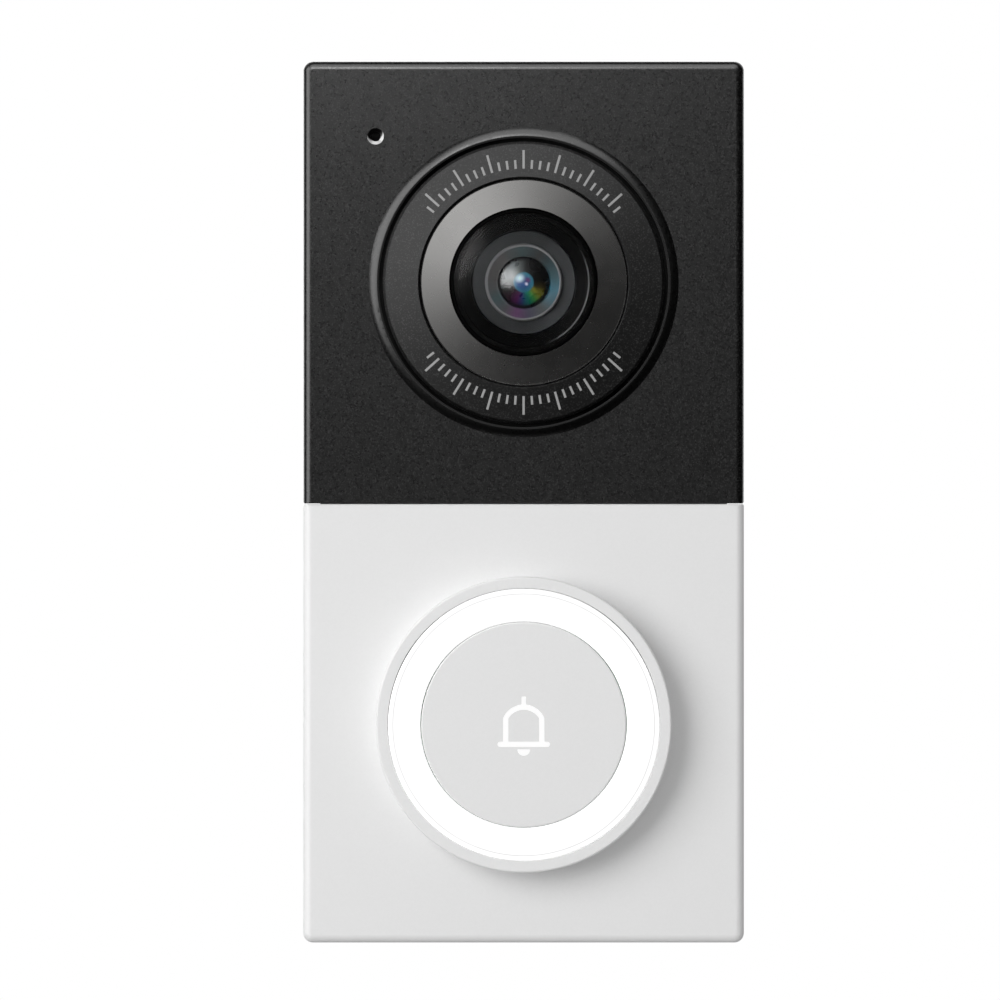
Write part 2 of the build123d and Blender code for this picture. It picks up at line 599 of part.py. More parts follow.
def board_parts():
    save("processor_shield", soft_block(-15, 3, -8.5, 9.5, BOARD_FRONT, 13.0, 0.8))
    wifi = soft_block(5, 16.5, -8.5, 6.5, BOARD_FRONT, 12.2, 0.6)
    save("wifi_module", wifi + block(6, 15.5, -7.5, 3, 12.1, 13.2))
    front = BOARD_FRONT
    choke = soft_block(6, 13, -20, -13, front, 13.8, 1.0)
    flex_socket = block(-4.6, 4.6, BUTTON_Y - 8.5, BUTTON_Y - 5, front, 12.05)
    bridge = block(-18, -12, 17, 22, front, 13.4)
    driver = block(-18, -13, 25, 30, front, 12.2)
    memory = block(-15.5, -6, -20, -13, front, 12.0)
    sounder_chip = block(8, 12, -38, -34, front, 12.0)
    power_choke = disc(3.4, front, 13.8, (11, -29))
    small = [block(x, x + 1.6, -24.5, -23.7, front, 11.8) for x in (-19, -16.5, -14, -11.5)]
    chips = (choke, flex_socket, bridge, driver, memory, sounder_chip, power_choke)
    save("board_components", *chips, *small)
    cell = rod_y(3.3, 17.2, 15.0, 17.4, 37.0)
    save("supercapacitor", fillet(cell.edges().filter_by(GeomType.CIRCLE), 0.5))
    strip = block(-10, 10, 43.6, 44.1, front, 17.5) + block(-10, -6, 41.5, 44.0, front, 11.4)
    save("antenna", strip)
    x, y = RESET_AT
    save("reset_switch", block(x - 2, x + 2, y - 2, y + 2, BOARD_BACK - 0.8, BOARD_BACK))


def microphone_parts():
    x, y = MIC_AT
    boot_r, boot_front = 1.42, 20.05
    can = block(x - 0.9, x + 1.7, y - 2.3, y + 1.1, BOARD_FRONT, 12.1)
    save("microphone", can - disc(0.4, 11.6, 13, MIC_AT))
    save("microphone_boot", ring(boot_r, 0.8, 12.1, boot_front, MIC_AT))
    save("microphone_membrane", disc(boot_r, boot_front, FACE_BACK, MIC_AT))


def speaker():
    x0, x1 = SPEAKER_X
    z0, z1 = SPEAKER_Z
    face, back = -46.7, -42.4
    body = block(x0, x1, face, back, z0, z1)
    wall = 1.2
    body -= block(x0 + wall, x1 - wall, face - 1, back - 0.8, z0 + wall, z1 - wall)
    magnet_x, magnet_z = (1.5, 11.5), (11.0, 16.6)
    body -= block(*magnet_x, back - 2, back + 1, *magnet_z)
    save("speaker_frame", body)
    save("speaker_magnet", block(*magnet_x, -45.0, -42.2, *magnet_z))
    edge = wall + 0.2
    cone = block(x0 + edge, x1 - edge, -46.3, -45.95, z0 + edge, z1 - edge)
    cone = fillet(cone.edges().filter_by(Axis.Y), 1.5)
    cone += block(3, 10, -46.0, -45.6, 12.0, 15.6)
    save("speaker_diaphragm", cone)
    save("speaker_mesh", block(-2.9, 15.5, -46.88, -46.72, 9.6, 18.2))


def card_parts():
    x0, x1 = CARD_X
    z0, z1 = CARD_Z
    body = block(x0 - 0.7, x1 + 0.7, -44.6, -29.6, BOARD_FRONT, z1 + 0.5)
    body -= block(x0 - 0.15, x1 + 0.15, -46, -30.5, z0 - 0.15, z1 + 0.15)
    save("card_socket", body)
    card = block(x0, x1, -46.6, -31.6, z0, z1)
    save("memory_card", card - block(x1 - 0.9, x1 + 1, -38.5, -30, z0 - 1, z1 + 1))


def card_cover():
    """Flap over the card slot. It turns on two pins moulded on its wall-side edge."""
    x0, x1 = FLAP_X
    z0, z1 = FLAP_Z
    face, inside = -HALF_H, -HALF_H + FLAP_T
    plate = block(x0, x1, face, inside, FLAP_AXIS_Z, z1)
    plate = fillet(plate.edges().filter_by(Axis.Y).group_by(Axis.Z)[-1], 0.8)
    plate += rod_x(FLAP_T / 2, FLAP_AXIS_Y, FLAP_AXIS_Z, x0, x1)
    plate += rod_x(FLAP_PIN_R, FLAP_AXIS_Y, FLAP_AXIS_Z, x0 - 0.7, x1 + 0.7)
    plug = block(CARD_X[0], CARD_X[1], inside - 0.1, inside + 0.4, 11.4, 13.3)
    save("card_cover", plate + plug)


def terminals():
    z_back, y0, y1 = 5.0, TERMINAL_BASE_Y, TERMINAL_TOP_Y
    block_body = block(-TERMINAL_HALF_W, TERMINAL_HALF_W, y0, y1, z_back, BOARD_BACK)
    block_body += block(-0.5, 0.5, y0, y1, z_back - 1.5, z_back + 0.1)
    plates = []
    for x, side in zip(TERMINAL_XS, ("left", "right")):
        at = (x, TERMINAL_Y)
        block_body -= disc(TERMINAL_BORE_R, z_back - 1, 9.6, at)
        plate = block(x - 3.4, x + 3.4, 1.2, 8.8, z_back - 0.5, z_back)
        plates.append(plate - disc(TERMINAL_BORE_R, 3, 6, at))
        clamp = block(x - 3.2, x + 3.2, 1.8, 8.2, z_back - 1.1, z_back - 0.52)
        save(f"terminal_clamp_{side}", clamp - disc(TERMINAL_BORE_R, 2, 6, at))
        head_back, seat = z_back - 2.7, z_back - 1.12
        save(f"terminal_screw_{side}", rear_screw(at, 2.9, head_back, seat, 1.5, 8.4))
    save("terminal_block", block_body)
    save("terminal_plates", *plates)


def reset_key():
    collar_front = 8.3
    body = disc(1.52, FLOOR_BACK - 0.3, collar_front, RESET_AT)
    body += disc(2.2, FLOOR_FRONT + 0.05, collar_front, RESET_AT)
    body += disc(0.7, collar_front - 0.1, 8.85, RESET_AT)
    save("reset_key", body)


# ---- build --------------------------------------------------------------------------------
os.makedirs("parts", exist_ok=True)
front_shell = cover_shell()
wall_plate()
security_screw()
upper_cover(front_shell)
lower_cover(front_shell)
back_cover()
chassis()
case_seal()
fasteners()
lens_bezel()
infrared_window()
lens_shroud()
lens_dome()
lens_barrel()
lens_retaining_ring()
lens_glass()
lens_holder()
ir_filter()
image_sensor()
camera_board()
infrared_lamps()
button_cap()
light_ring()
button_guide()
button_return_spring()
button_seal()
button_board()
button_flex()
main_board()
board_parts()
microphone_parts()
speaker()
card_parts()
card_cover()
terminals()
reset_key()
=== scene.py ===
"""Looks, light and camera for the video doorbell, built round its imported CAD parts."""
import math

import bmesh
import bpy
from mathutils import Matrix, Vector


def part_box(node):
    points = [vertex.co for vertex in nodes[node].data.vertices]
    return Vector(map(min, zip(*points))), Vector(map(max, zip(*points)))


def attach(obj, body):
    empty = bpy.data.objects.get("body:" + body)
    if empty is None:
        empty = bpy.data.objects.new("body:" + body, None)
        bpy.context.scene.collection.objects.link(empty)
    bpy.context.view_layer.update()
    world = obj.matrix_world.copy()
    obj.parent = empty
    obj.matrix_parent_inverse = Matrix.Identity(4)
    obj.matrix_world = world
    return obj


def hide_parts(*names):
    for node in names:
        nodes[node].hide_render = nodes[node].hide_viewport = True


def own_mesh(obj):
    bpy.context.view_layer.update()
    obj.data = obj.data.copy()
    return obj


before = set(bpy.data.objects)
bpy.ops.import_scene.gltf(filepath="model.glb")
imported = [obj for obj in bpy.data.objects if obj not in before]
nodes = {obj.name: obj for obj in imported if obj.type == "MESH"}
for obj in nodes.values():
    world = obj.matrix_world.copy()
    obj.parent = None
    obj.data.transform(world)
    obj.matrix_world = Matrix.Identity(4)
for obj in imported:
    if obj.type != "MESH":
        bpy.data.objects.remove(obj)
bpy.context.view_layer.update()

MM = 0.001


def middle(node):
    low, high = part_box(node)
    return (low + high) / 2


def front(node):
    """Y of a part's foremost point."""
    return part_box(node)[0].y


def grey(value):
    return (value, value, value)


LENS = middle("lens_bezel")
BUTTON = middle("button_cap")
BUTTON_STANDS_PROUD = 4 * MM
FACE_Y = front("light_ring") + BUTTON_STANDS_PROUD

# Stretches of radius from the lens axis or the button axis over which a look changes.
RIM_FOOT_SHADE = (17.0 * MM, 17.7 * MM)
RIM_GAP = (16.58 * MM, 16.72 * MM)
LIP_INSIDE = (7.26 * MM, 7.3 * MM)
LIP_OUTSIDE = (7.43 * MM, 7.46 * MM)
RETAINER_EDGE = (4.0 * MM, 4.1 * MM)
LENS_BORDER = (2.35 * MM, 2.75 * MM)
PUPIL_BORDER = (1.0 * MM, 1.25 * MM)
RING_LINE_R = 14.8 * MM
RING_LINE_SIDE = (0.03 * MM, 0.12 * MM)

# The microphone's dimple, and the painted shade over most of its wall, which leaves a painted highlight
# crescent.
DIMPLE_R = 0.95 * MM
SHADE_R = 0.93 * MM
SHADE_X, SHADE_Z = -0.12 * MM, 0.4 * MM

# The bezel's cone, and the marks printed on it. MARK_STEP is in degrees.
CONE_FRONT_Y = front("lens_bezel")
CONE_INNER_R, CONE_OUTER_R = 11.99 * MM, 15.7 * MM
CONE_DROP = 0.65 * MM
MARK_INNER_R = 12.9 * MM
SHORT_MARK_OUTER_R, LONG_MARK_OUTER_R = 13.9 * MM, 15.0 * MM
MARK_HALF_WIDTH = 0.13 * MM
MARK_PROUD, MARK_SUNK, MARK_CHAMFER = 0.025 * MM, 0.05 * MM, 0.03 * MM
MARKS_PER_SIDE, MARK_STEP = 13, 4
LONG_MARK_EVERY = 4

SHARP_EDGE = math.radians(32)

# A Mix node has one set of sockets for each kind of value. These are the colour ones.
MIX_FIRST, MIX_SECOND, MIX_RESULT = 6, 7, 2


# ---- shader nodes ---------------------------------------------------------------------------
def add_node(tree, kind, **values):
    made = tree.nodes.new(kind)
    for key, value in values.items():
        setattr(made, key, value)
    return made


def math_node(tree, operation, *values):
    """One Math node. Each value is a number or another node's output."""
    made = add_node(tree, "ShaderNodeMath", operation=operation)
    for socket, value in zip(made.inputs, values):
        if isinstance(value, (int, float)):
            socket.default_value = value
        else:
            tree.links.new(value, socket)
    return made.outputs[0]


# ---- materials ------------------------------------------------------------------------------
class Surface:
    """A Principled material and the nodes that break up its colour, gloss and relief."""

    def __init__(self, name, colour, roughness, **sockets):
        self.material = bpy.data.materials.new(name)
        self.material.use_nodes = True
        self.tree = self.material.node_tree
        self.shader = self.tree.nodes["Principled BSDF"]
        self.colour = (*colour, 1.0)
        self.shader.inputs["Base Color"].default_value = self.colour
        self.shader.inputs["Roughness"].default_value = roughness
        for socket, value in sockets.items():
            self.shader.inputs[socket.replace("_", " ")].default_value = value
        self.roughness = roughness
        self.place = self.node("ShaderNodeTexCoord").outputs["Object"]
        self.relief = None

    def node(self, kind, **values):
        return add_node(self.tree, kind, **values)

    def link(self, source, target):
        self.tree.links.new(source, target)

    def math(self, operation, *values):
        return math_node(self.tree, operation, *values)

    def noise(self, size, detail=2.0, stretch=(1, 1, 1)):
        """Noise whose features are about size metres across, drawn out along an axis by stretch."""
        scaled = self.node("ShaderNodeMapping")
        scaled.inputs["Scale"].default_value = [1 / (size * s) for s in stretch]
        self.link(self.place, scaled.inputs["Vector"])
        noise = self.node("ShaderNodeTexNoise")
        noise.inputs["Scale"].default_value = 1.0
        noise.inputs["Detail"].default_value = detail
        self.link(scaled.outputs["Vector"], noise.inputs["Vector"])
        return noise.outputs["Fac"]

    def spread(self, value, low, high, start=0.3, end=0.7):
        """Maps start to end, where noise mostly lies, onto low to high, with soft ends."""
        ranged = self.node("ShaderNodeMapRange", interpolation_type="SMOOTHSTEP")
        for name, number in zip(("From Min", "From Max", "To Min", "To Max"), (start, end, low, high)):
            ranged.inputs[name].default_value = number
        self.link(value, ranged.inputs["Value"])
        return ranged.outputs["Result"]

    def rise(self, value, start, end):
        """0 up to start, then rising to 1 at end."""
        return self.spread(value, 0.0, 1.0, start, end)

    def fade(self, value, start, end):
        """1 up to start, then fading to 0 at end."""
        return self.spread(value, 1.0, 0.0, start, end)

    def mix(self, factor, first, second):
        """Colour mix. Each colour is an RGB triple or another node's output."""
        made = self.node("ShaderNodeMix", data_type="RGBA")
        self.link(factor, made.inputs["Factor"])
        for place, colour in ((MIX_FIRST, first), (MIX_SECOND, second)):
            if isinstance(colour, tuple):
                made.inputs[place].default_value = (*colour, 1.0)
            else:
                self.link(colour, made.inputs[place])
        return made.outputs[MIX_RESULT]

    def drive(self, socket, source):
        self.link(source, self.shader.inputs[socket])
        return self

    def polar(self, centre):
        """Distance in metres from the Y axis through centre, and the turn round it, 0 to 1 from -X."""
        offset = self.node("ShaderNodeVectorMath", operation="SUBTRACT")
        self.link(self.place, offset.inputs[0])
        offset.inputs[1].default_value = centre
        split = self.node("ShaderNodeSeparateXYZ")
        self.link(offset.outputs[0], split.inputs[0])
        x, z = split.outputs["X"], split.outputs["Z"]
        squares = self.math("ADD", self.math("MULTIPLY", x, x), self.math("MULTIPLY", z, z))
        radius = self.math("SQRT", squares)
        turn = self.math("ADD", self.math("DIVIDE", self.math("ARCTAN2", z, x), 2 * math.pi), 0.5)
        return radius, turn

    def spot(self, centre, radius, softness):
        """1 inside a ball round centre, fading to 0 at its surface over softness metres."""
        distance = self.node("ShaderNodeVectorMath", operation="DISTANCE")
        self.link(self.place, distance.inputs[0])
        distance.inputs[1].default_value = centre
        return self.fade(distance.outputs["Value"], radius - softness / 2, radius + softness / 2)

    def wheel(self, turn, stops):
        """Colours round an axis: stops are (degrees from +X, counted up to +Z, colour), -180 to 180."""
        ramp = self.node("ShaderNodeValToRGB")
        self.link(turn, ramp.inputs["Fac"])
        points = ramp.color_ramp.elements
        while len(points) < len(stops):
            points.new(0.5)
        for point, (angle, colour) in zip(points, stops):
            point.position = angle / 360 + 0.5
            point.color = (*colour, 1.0)
        return ramp.outputs["Color"]

    def mottle(self, size, amount, stretch=(1, 1, 1), detail=2.0):
        """Small lighter and darker patches in the colour."""
        dark = tuple(c * (1 - amount) for c in self.colour[:3])
        light = tuple(min(c * (1 + amount), 1) for c in self.colour[:3])
        patches = self.spread(self.noise(size, detail, stretch), 0.0, 1.0)
        return self.drive("Base Color", self.mix(patches, dark, light))

    def sheen_breakup(self, size, amount, stretch=(1, 1, 1)):
        """Slight changes in gloss."""
        low, high = max(self.roughness - amount, 0.02), min(self.roughness + amount, 1.0)
        return self.drive("Roughness", self.spread(self.noise(size, 3.0, stretch), low, high))

    def grain(self, size, depth, stretch=(1, 1, 1), detail=2.0):
        """Relief, depth in metres. Called again, it adds to what is there."""
        bump = self.node("ShaderNodeBump")
        bump.inputs["Distance"].default_value = depth
        self.link(self.noise(size, detail, stretch), bump.inputs["Height"])
        if self.relief is not None:
            self.link(self.relief, bump.inputs["Normal"])
        self.relief = bump.outputs["Normal"]
        self.link(self.relief, self.shader.inputs["Normal"])
        return self


def plastic(name, colour, roughness, grain_size=0.25 * MM, grain_depth=0.01 * MM, **sockets):
    """Moulded plastic: faint colour drift, gloss drift and the grain of the mould."""
    made = Surface(name, colour, roughness, **sockets)
    return made.mottle(grain_size, 0.06).sheen_breakup(3 * MM, 0.03).grain(grain_size, grain_depth)


def rubber(name, colour):
    made = Surface(name, colour, 0.75).mottle(0.5 * MM, 0.1)
    return made.sheen_breakup(1 * MM, 0.08).grain(0.12 * MM, 0.01 * MM)


def metal(name, colour, roughness, stretch=(1, 1, 1), **sockets):
    """Bare or plated metal with fine tool marks drawn out along stretch."""
    made = Surface(name, colour, roughness, Metallic=1.0, **sockets)
    made.mottle(0.6 * MM, 0.06)
    return made.sheen_breakup(0.4 * MM, 0.05, stretch).grain(0.15 * MM, 0.002 * MM, stretch)


def sparked(name, roughness, reflectivity, dark, light, speck):
    """Black spark-eroded moulding: cloudy black, tiny pale specks and a fine bumpy grain."""
    made = Surface(name, grey(dark), roughness, Specular_IOR_Level=reflectivity)
    specks = made.rise(made.noise(0.15 * MM, 0.0), 0.56, 0.74)
    cloud = made.spread(made.noise(1.6 * MM), 0.0, 1.0)
    made.colours = made.mix(specks, made.mix(cloud, grey(dark), grey(light)), grey(speck))
    made.drive("Base Color", made.colours)
    return made.grain(1.2 * MM, 0.004 * MM).grain(0.2 * MM, 0.0038 * MM, detail=1.0)


def black_case():
    """The upper cover: painted shade on the rim, dull in the bezel gap, and a painted highlight crescent
    round the microphone hole, with painted shade over the rest of its wall.
    """
    made = sparked("black_case", 0.3, reflectivity=0.3, dark=0.0016, light=0.0026, speck=0.016)
    radius, _ = made.polar(LENS)
    # Painted shade: inside the rim's foot the cover's colour goes to plain black, without its pale specks.
    face = made.mix(made.fade(radius, *RIM_FOOT_SHADE), made.colours, grey(0.001))
    satin = made.spread(made.noise(0.3 * MM, 3.0), 0.27, 0.33)
    made.drive("Roughness", made.math("MAXIMUM", satin, made.fade(radius, *RIM_GAP)))
    hole = middle("microphone_membrane")
    dimple = made.spot((hole.x, FACE_Y, hole.z), DIMPLE_R, 0.02 * MM)
    # Painted highlight: a pale crescent on the dimple's wall at the lower right, with painted shade over
    # the rest of it.
    shade = made.spot((hole.x + SHADE_X, FACE_Y, hole.z + SHADE_Z), SHADE_R, 0.2 * MM)
    painted_highlight = made.mix(shade, grey(0.45), grey(0.0005))
    made.drive("Base Color", made.mix(dimple, face, painted_highlight))
    return made.drive("Metallic", made.math("MULTIPLY", dimple, 0.1))


def white_case():
    """The lower cover and the button cap: smooth satin white."""
    made = Surface("white_case", grey(0.8), 0.5, Specular_IOR_Level=0.25)
    return made.mottle(0.3 * MM, 0.006).sheen_breakup(2 * MM, 0.03).grain(0.3 * MM, 0.002 * MM)


def bezel_black():
    """The bezel: like the upper cover, but duller."""
    made = sparked("bezel_black", 0.42, reflectivity=0.28, dark=0.0016, light=0.0026, speck=0.02)
    return made.sheen_breakup(0.3 * MM, 0.03)


def smoked_window():
    """Vacuum-coated ring that looks like satin metal and lets infrared through."""
    made = Surface("smoked_window", (0.80, 0.79, 0.775), 0.27, Metallic=1.0)
    return made.mottle(4 * MM, 0.02).sheen_breakup(2 * MM, 0.02)


def shroud_black():
    """Dead black funnel whose lip under the edge of the clear cap is glossier and carries a painted
    highlight at the lower right.
    """
    dead_black = grey(0.0015)
    dull, polished = 0.5, 0.35
    made = Surface("shroud_black", dead_black, dull, Specular_IOR_Level=0.08)
    radius, _ = made.polar(LENS)
    lip = made.math("MULTIPLY", made.rise(radius, *LIP_INSIDE), made.fade(radius, *LIP_OUTSIDE))
    # Painted highlight: a pale arc on the lip, only on the lower right side.
    highlight_centre = (LENS.x + 7 * MM, front("lens_shroud"), LENS.z - 2.6 * MM)
    painted_highlight = made.math("MULTIPLY", lip, made.spot(highlight_centre, 5.2 * MM, 3.5 * MM))
    made.drive("Base Color", made.mix(painted_highlight, dead_black, (0.2, 0.205, 0.21)))
    made.drive("Roughness", made.spread(painted_highlight, dull, polished, 0.0, 1.0))
    return made.grain(0.3 * MM, 0.001 * MM)


def barrel_black():
    """Matt black barrel face, with a painted sheen: lighter on its right and darker at the top and bottom,
    standing in for the light a turned cone would catch.
    """
    plain = (0.034, 0.038, 0.040)
    made = Surface("barrel_black", plain, 0.42)
    _, turn = made.polar(LENS)
    # Painted sheen: the base colour changes round the axis with where the light falls.
    painted_sheen = made.wheel(turn, [
        (-180, plain), (-130, (0.026, 0.029, 0.030)), (-85, (0.019, 0.021, 0.023)),
        (-60, (0.052, 0.056, 0.060)), (0, (0.066, 0.070, 0.074)), (50, (0.048, 0.052, 0.055)),
        (62, (0.026, 0.029, 0.030)), (95, (0.024, 0.028, 0.029)), (130, plain),
    ])
    made.drive("Base Color", painted_sheen)
    return made.sheen_breakup(3 * MM, 0.03).grain(0.2 * MM, 0.002 * MM)


def retainer_grey():
    """Anodised ring: dull face, bright outer edge, and a painted wheel of the coloured light the lens
    throws on it.
    """
    made = Surface("retainer_grey", grey(0.1), 0.38, Specular_IOR_Level=0.3)
    radius, turn = made.polar(LENS)
    # Painted light: coloured reflections from the lens coatings, round the ring.
    tint = made.wheel(turn, [
        (-170, (0.14, 0.14, 0.145)), (-150, (0.09, 0.14, 0.15)), (-125, (0.11, 0.11, 0.12)),
        (-103, (0.17, 0.075, 0.18)), (-82, (0.08, 0.075, 0.12)), (-55, (0.07, 0.08, 0.08)),
        (-32, (0.035, 0.12, 0.165)), (-12, (0.018, 0.14, 0.21)), (12, (0.02, 0.08, 0.10)),
        (60, (0.055, 0.055, 0.056)), (95, (0.075, 0.11, 0.115)), (130, (0.14, 0.135, 0.135)),
    ])
    edge = made.rise(radius, *RETAINER_EDGE)
    made.drive("Base Color", made.mix(edge, tint, (0.30, 0.30, 0.31)))
    made.drive("Metallic", made.math("MULTIPLY", edge, 0.4))
    return made.sheen_breakup(0.5 * MM, 0.04).grain(0.3 * MM, 0.0006 * MM)


def coated_lens():
    """Front element: a glossy dome over a painted wheel of coloured coating reflections with a pale
    painted highlight at the upper left, and the blue pupil in the middle with painted highlights and a
    painted glow.
    """
    made = Surface("coated_lens", grey(0.01), 0.28, IOR=1.9)
    radius, turn = made.polar(LENS)
    # Painted reflections: coating colours round the axis, and a pale painted highlight from 97 to 155
    # degrees.
    painted_reflection_wheel = made.wheel(turn, [
        (-180, (0.06, 0.075, 0.08)), (-158, (0.004, 0.004, 0.006)), (-135, (0.03, 0.003, 0.014)),
        (-112, (0.10, 0.008, 0.095)), (-94, (0.02, 0.045, 0.18)), (-76, (0.006, 0.26, 0.20)),
        (-58, (0.06, 0.34, 0.08)), (-38, (0.33, 0.33, 0.035)), (-16, (0.08, 0.06, 0.01)),
        (4, (0.003, 0.003, 0.003)), (80, (0.003, 0.003, 0.004)), (97, (0.05, 0.06, 0.062)),
        (122, (0.15, 0.175, 0.18)), (155, (0.17, 0.195, 0.20)), (180, (0.06, 0.075, 0.08)),
    ])
    painted_coating_reflections = made.mix(made.rise(radius, *LENS_BORDER), painted_reflection_wheel, (0.004, 0.004, 0.006))
    pupil_with_painted_highlights = (0.03, 0.18, 0.26)
    face = front("front_lens")
    # X and Z from the axis, radius and softness, all in millimetres, and the colour.
    spots = (
        (-0.1, -0.1, 0.8, 0.55, (0.02, 0.075, 0.24)),
        (0.5, 0.22, 0.25, 0.5, (0.14, 0.035, 0.16)),
        # The last two spots are painted highlights.
        (-0.42, 0.42, 0.38, 0.8, (0.66, 0.86, 0.93)),
        (0.32, -0.28, 0.15, 0.25, (0.80, 0.78, 0.95)),
    )
    for x, z, spot_radius, softness, colour in spots:
        place = (LENS.x + x * MM, face, LENS.z + z * MM)
        pupil_with_painted_highlights = made.mix(made.spot(place, spot_radius * MM, softness * MM), pupil_with_painted_highlights, colour)
    inside = made.fade(radius, *PUPIL_BORDER)
    made.drive("Base Color", made.mix(inside, painted_coating_reflections, pupil_with_painted_highlights))
    # Painted glow: the pupil gives off light in its own colours, though nothing lights it from inside.
    made.drive("Emission Color", made.mix(inside, grey(0.0), pupil_with_painted_highlights))
    made.shader.inputs["Emission Strength"].default_value = 0.25
    return made.sheen_breakup(1.5 * MM, 0.02)


def glass(name, tint, ior):
    """Clear, with the faintest change in tint and gloss."""
    made = Surface(name, tint, 0.09, Transmission_Weight=1.0, IOR=ior)
    return made.mottle(2 * MM, 0.01).sheen_breakup(1 * MM, 0.01)


def glow_ring():
    """Milky light guide, lit from behind: even and bright, with a faint dim line near its rim."""
    dim, bright = 0.08, 0.45
    made = Surface("glow_ring", grey(0.85), 0.4)
    made.mottle(1.5 * MM, 0.02)
    radius, _ = made.polar(BUTTON)
    from_line = made.math("ABSOLUTE", made.math("SUBTRACT", radius, RING_LINE_R))
    lit = made.spread(from_line, dim, bright, *RING_LINE_SIDE)
    made.shader.inputs["Emission Color"].default_value = (1, 1, 1, 1)
    return made.drive("Emission Strength", lit).grain(0.4 * MM, 0.001 * MM)


def glow_symbol():
    """The bell symbol, lit a little less than the ring."""
    made = Surface("glow_symbol", grey(0.85), 0.45)
    made.shader.inputs["Emission Color"].default_value = (1, 1, 1, 1)
    made.shader.inputs["Emission Strength"].default_value = 0.26
    return made.mottle(0.5 * MM, 0.01).grain(0.4 * MM, 0.001 * MM)


def board_green():
    """Solder mask over faint copper tracks."""
    made = Surface("board_green", (0.015, 0.09, 0.045), 0.28, Coat_Weight=0.3)
    along = (6, 1, 1)
    tracks = made.rise(made.noise(0.7 * MM, 0.0, along), 0.48, 0.52)
    made.drive("Base Color", made.mix(tracks, (0.012, 0.075, 0.038), (0.02, 0.13, 0.06)))
    return made.sheen_breakup(2 * MM, 0.05).grain(0.7 * MM, 0.01 * MM, along, detail=0.0)


def woven_mesh():
    """Black cloth with threads both ways."""
    weft, warp = (8, 1, 1), (1, 1, 8)
    made = Surface("woven_mesh", grey(0.02), 0.85).mottle(0.15 * MM, 0.6, weft)
    return made.grain(0.15 * MM, 0.03 * MM, weft).grain(0.15 * MM, 0.03 * MM, warp)


def assign(surface, *names):
    for name in names:
        for slot in nodes[name].material_slots:
            slot.material = surface.material


def dress_housing():
    """Shells, wall plate, chassis, seals, sound parts and reset key."""
    assign(white_case(), "lower_cover", "button_cap")
    assign(black_case(), "upper_cover")
    assign(plastic("back_black", (0.022, 0.022, 0.023), 0.5, 0.3 * MM), "back_cover")
    assign(plastic("plate_black", (0.035, 0.035, 0.037), 0.55, 0.35 * MM, 0.02 * MM), "wall_plate")
    frame_grey = plastic("frame_grey", (0.16, 0.16, 0.17), 0.6)
    assign(frame_grey, "chassis", "lens_holder", "speaker_frame", "ir_filter_carrier")
    assign(rubber("seal_rubber", (0.04, 0.04, 0.042)), "case_seal", "microphone_boot")
    assign(plastic("flap_white", grey(0.76), 0.55), "card_cover")
    assign(woven_mesh(), "speaker_mesh", "microphone_membrane")
    assign(plastic("cone_film", (0.05, 0.045, 0.04), 0.5), "speaker_diaphragm")
    assign(plastic("reset_grey", (0.35, 0.35, 0.36), 0.5), "reset_key")


def dress_camera():
    assign(bezel_black(), "lens_bezel")
    assign(smoked_window(), "infrared_window")
    assign(shroud_black(), "lens_shroud")
    assign(barrel_black(), "lens_barrel")
    assign(retainer_grey(), "lens_retaining_ring")
    assign(coated_lens(), "front_lens")
    assign(glass("optical_glass", (0.93, 0.97, 1.0), 1.5), "inner_lenses", "ir_filter_glass")
    assign(glass("clear_cap", grey(1.0), 1.2), "lens_dome")


def dress_button():
    assign(glow_ring(), "light_ring")
    assign(glow_symbol(), "bell_insert")
    assign(rubber("pale_silicone", grey(0.72)), "button_seal")
    assign(plastic("reflector_white", grey(0.8), 0.5), "button_guide")
    assign(plastic("stem_black", (0.02, 0.02, 0.022), 0.4), "switch_stem")
    assign(plastic("flex_amber", (0.45, 0.19, 0.03), 0.3), "button_flex")


def dress_metal_parts():
    zinc = metal("zinc_steel", (0.62, 0.62, 0.63), 0.3, (1, 1, 4))
    assign(zinc, "case_screws", "main_board_screws", "security_screw_washer", "speaker_magnet")
    assign(zinc, "terminal_screw_left", "terminal_screw_right")
    brass = metal("brass", (0.75, 0.56, 0.27), 0.28, (4, 1, 1))
    assign(brass, "terminal_plates", "terminal_clamp_left", "terminal_clamp_right")
    tinned = metal("tinned_steel", (0.66, 0.66, 0.65), 0.3, (5, 1, 1))
    assign(tinned, "processor_shield", "wifi_module", "card_socket", "microphone", "antenna")
    assign(metal("black_steel", grey(0.12), 0.35), "security_screw")
    assign(metal("spring_steel", (0.5, 0.5, 0.52), 0.25), "button_return_spring")


def dress_electronics():
    assign(board_green(), "main_board", "camera_board", "infrared_board", "button_board")
    chips = plastic("chip_black", grey(0.03), 0.45)
    assign(chips, "board_components", "image_sensor", "reset_switch", "button_switch")
    assign(plastic("terminal_black", grey(0.03), 0.45), "terminal_block")
    assign(plastic("card_black", (0.018, 0.018, 0.02), 0.35), "memory_card")
    assign(plastic("lamp_white", (0.85, 0.82, 0.62), 0.25), "ring_leds", "infrared_leds")
    assign(plastic("cell_blue", (0.03, 0.05, 0.16), 0.3), "supercapacitor")


def smooth_nodes():
    """Smooth faces that break at real edges."""
    for part in nodes.values():
        part.data.polygons.foreach_set("use_smooth", [True] * len(part.data.polygons))
        part.data.set_sharp_from_angle(angle=SHARP_EDGE)


# ---- the spring and seal behind the button --------------------------------------------------
def squeezed(node):
    """A copy of a part between the button cap and its seat behind, attached to the unit, with the original
    hidden.
    """
    piece = bpy.data.objects.new(node + "_squeezed", nodes[node].data.copy())
    bpy.context.scene.collection.objects.link(piece)
    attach(piece, "unit")
    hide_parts(node)
    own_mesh(piece)


